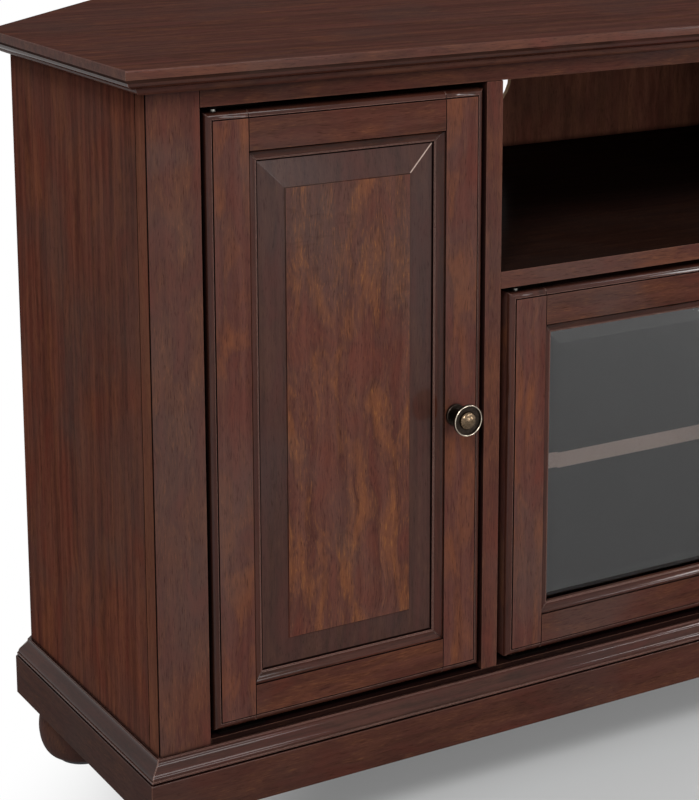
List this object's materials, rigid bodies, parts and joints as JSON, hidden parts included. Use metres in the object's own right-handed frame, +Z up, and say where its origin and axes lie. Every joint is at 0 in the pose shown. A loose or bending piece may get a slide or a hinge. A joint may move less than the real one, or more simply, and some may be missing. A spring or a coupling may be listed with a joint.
{
  "type": "corner tv cabinet",
  "caption": "Corner television cabinet with clipped rear corners, raised-panel side doors, an open media bay over bevelled glass doors, a moulded top and plinth, and bun feet.",
  "frame": {"origin": "on the floor, under the centre of the whole cabinet's bounding box", "axes": "+X along the front to the right, +Y from the front towards the corner of the room, +Z up"},
  "size_m": [1.218, 0.4894, 0.625],
  "materials": {
    "mahogany": "satin lacquer over dark mahogany stain",
    "door_mahogany": "satin lacquer over mahogany stain",
    "shelf_board": "satin lacquered board with a pale edge",
    "smoked_glass": "bevelled, polished",
    "aged_brass": "antiqued, rubbed at the rim",
    "hinge_steel": "dark zinc plate"
  },
  "bodies": {
    "case": {"top_panel": "mahogany", "side_panel_left": "mahogany", "side_panel_right": "mahogany", "clip_panel_left": "mahogany", "clip_panel_right": "mahogany", "face_stile_left": "mahogany", "face_stile_right": "mahogany", "top_rail": "mahogany", "deck_panel": "mahogany", "divider_left": "mahogany", "divider_right": "mahogany", "media_shelf": "mahogany", "centre_bay_shelf": "shelf_board", "left_bay_shelf": "shelf_board", "right_bay_shelf": "shelf_board", "back_panel": "mahogany", "base_front": "mahogany", "base_left": "mahogany", "base_right": "mahogany", "base_clip_left": "mahogany", "base_clip_right": "mahogany", "base_back": "mahogany", "front_left_foot": "mahogany", "front_right_foot": "mahogany", "side_left_foot": "mahogany", "side_right_foot": "mahogany", "back_left_foot": "mahogany", "back_right_foot": "mahogany", "left_door_lower_pivot": "hinge_steel", "left_door_upper_pivot": "hinge_steel", "right_door_lower_pivot": "hinge_steel", "right_door_upper_pivot": "hinge_steel", "left_glass_door_lower_pivot": "hinge_steel", "left_glass_door_upper_pivot": "hinge_steel", "right_glass_door_lower_pivot": "hinge_steel", "right_glass_door_upper_pivot": "hinge_steel"},
    "left_door": {"left_door_hinge_stile": "door_mahogany", "left_door_latch_stile": "door_mahogany", "left_door_bottom_rail": "door_mahogany", "left_door_top_rail": "door_mahogany", "left_door_panel": "door_mahogany", "left_door_knob": "aged_brass"},
    "right_door": {"right_door_hinge_stile": "door_mahogany", "right_door_latch_stile": "door_mahogany", "right_door_bottom_rail": "door_mahogany", "right_door_top_rail": "door_mahogany", "right_door_panel": "door_mahogany", "right_door_knob": "aged_brass"},
    "left_glass_door": {"left_glass_door_hinge_stile": "door_mahogany", "left_glass_door_latch_stile": "door_mahogany", "left_glass_door_bottom_rail": "door_mahogany", "left_glass_door_top_rail": "door_mahogany", "left_glass_door_pane": "smoked_glass", "left_glass_door_knob": "aged_brass"},
    "right_glass_door": {"right_glass_door_hinge_stile": "door_mahogany", "right_glass_door_latch_stile": "door_mahogany", "right_glass_door_bottom_rail": "door_mahogany", "right_glass_door_top_rail": "door_mahogany", "right_glass_door_pane": "smoked_glass", "right_glass_door_knob": "aged_brass"}
  },
  "joints": [
    {"name": "left_door_hinge", "type": "hinge", "parent": "case", "child": "left_door", "pos_m": [-0.5281, -0.21125, 0.1163], "axis": [0, 0, -1], "range_deg": [0, 105]},
    {"name": "right_door_hinge", "type": "hinge", "parent": "case", "child": "right_door", "pos_m": [0.5281, -0.21125, 0.1163], "axis": [0, 0, 1], "range_deg": [0, 105]},
    {"name": "left_glass_door_hinge", "type": "hinge", "parent": "case", "child": "left_glass_door", "pos_m": [-0.2655, -0.21125, 0.1163], "axis": [0, 0, -1], "range_deg": [0, 105]},
    {"name": "right_glass_door_hinge", "type": "hinge", "parent": "case", "child": "right_glass_door", "pos_m": [0.2655, -0.21125, 0.1163], "axis": [0, 0, 1], "range_deg": [0, 105]}
  ]
}
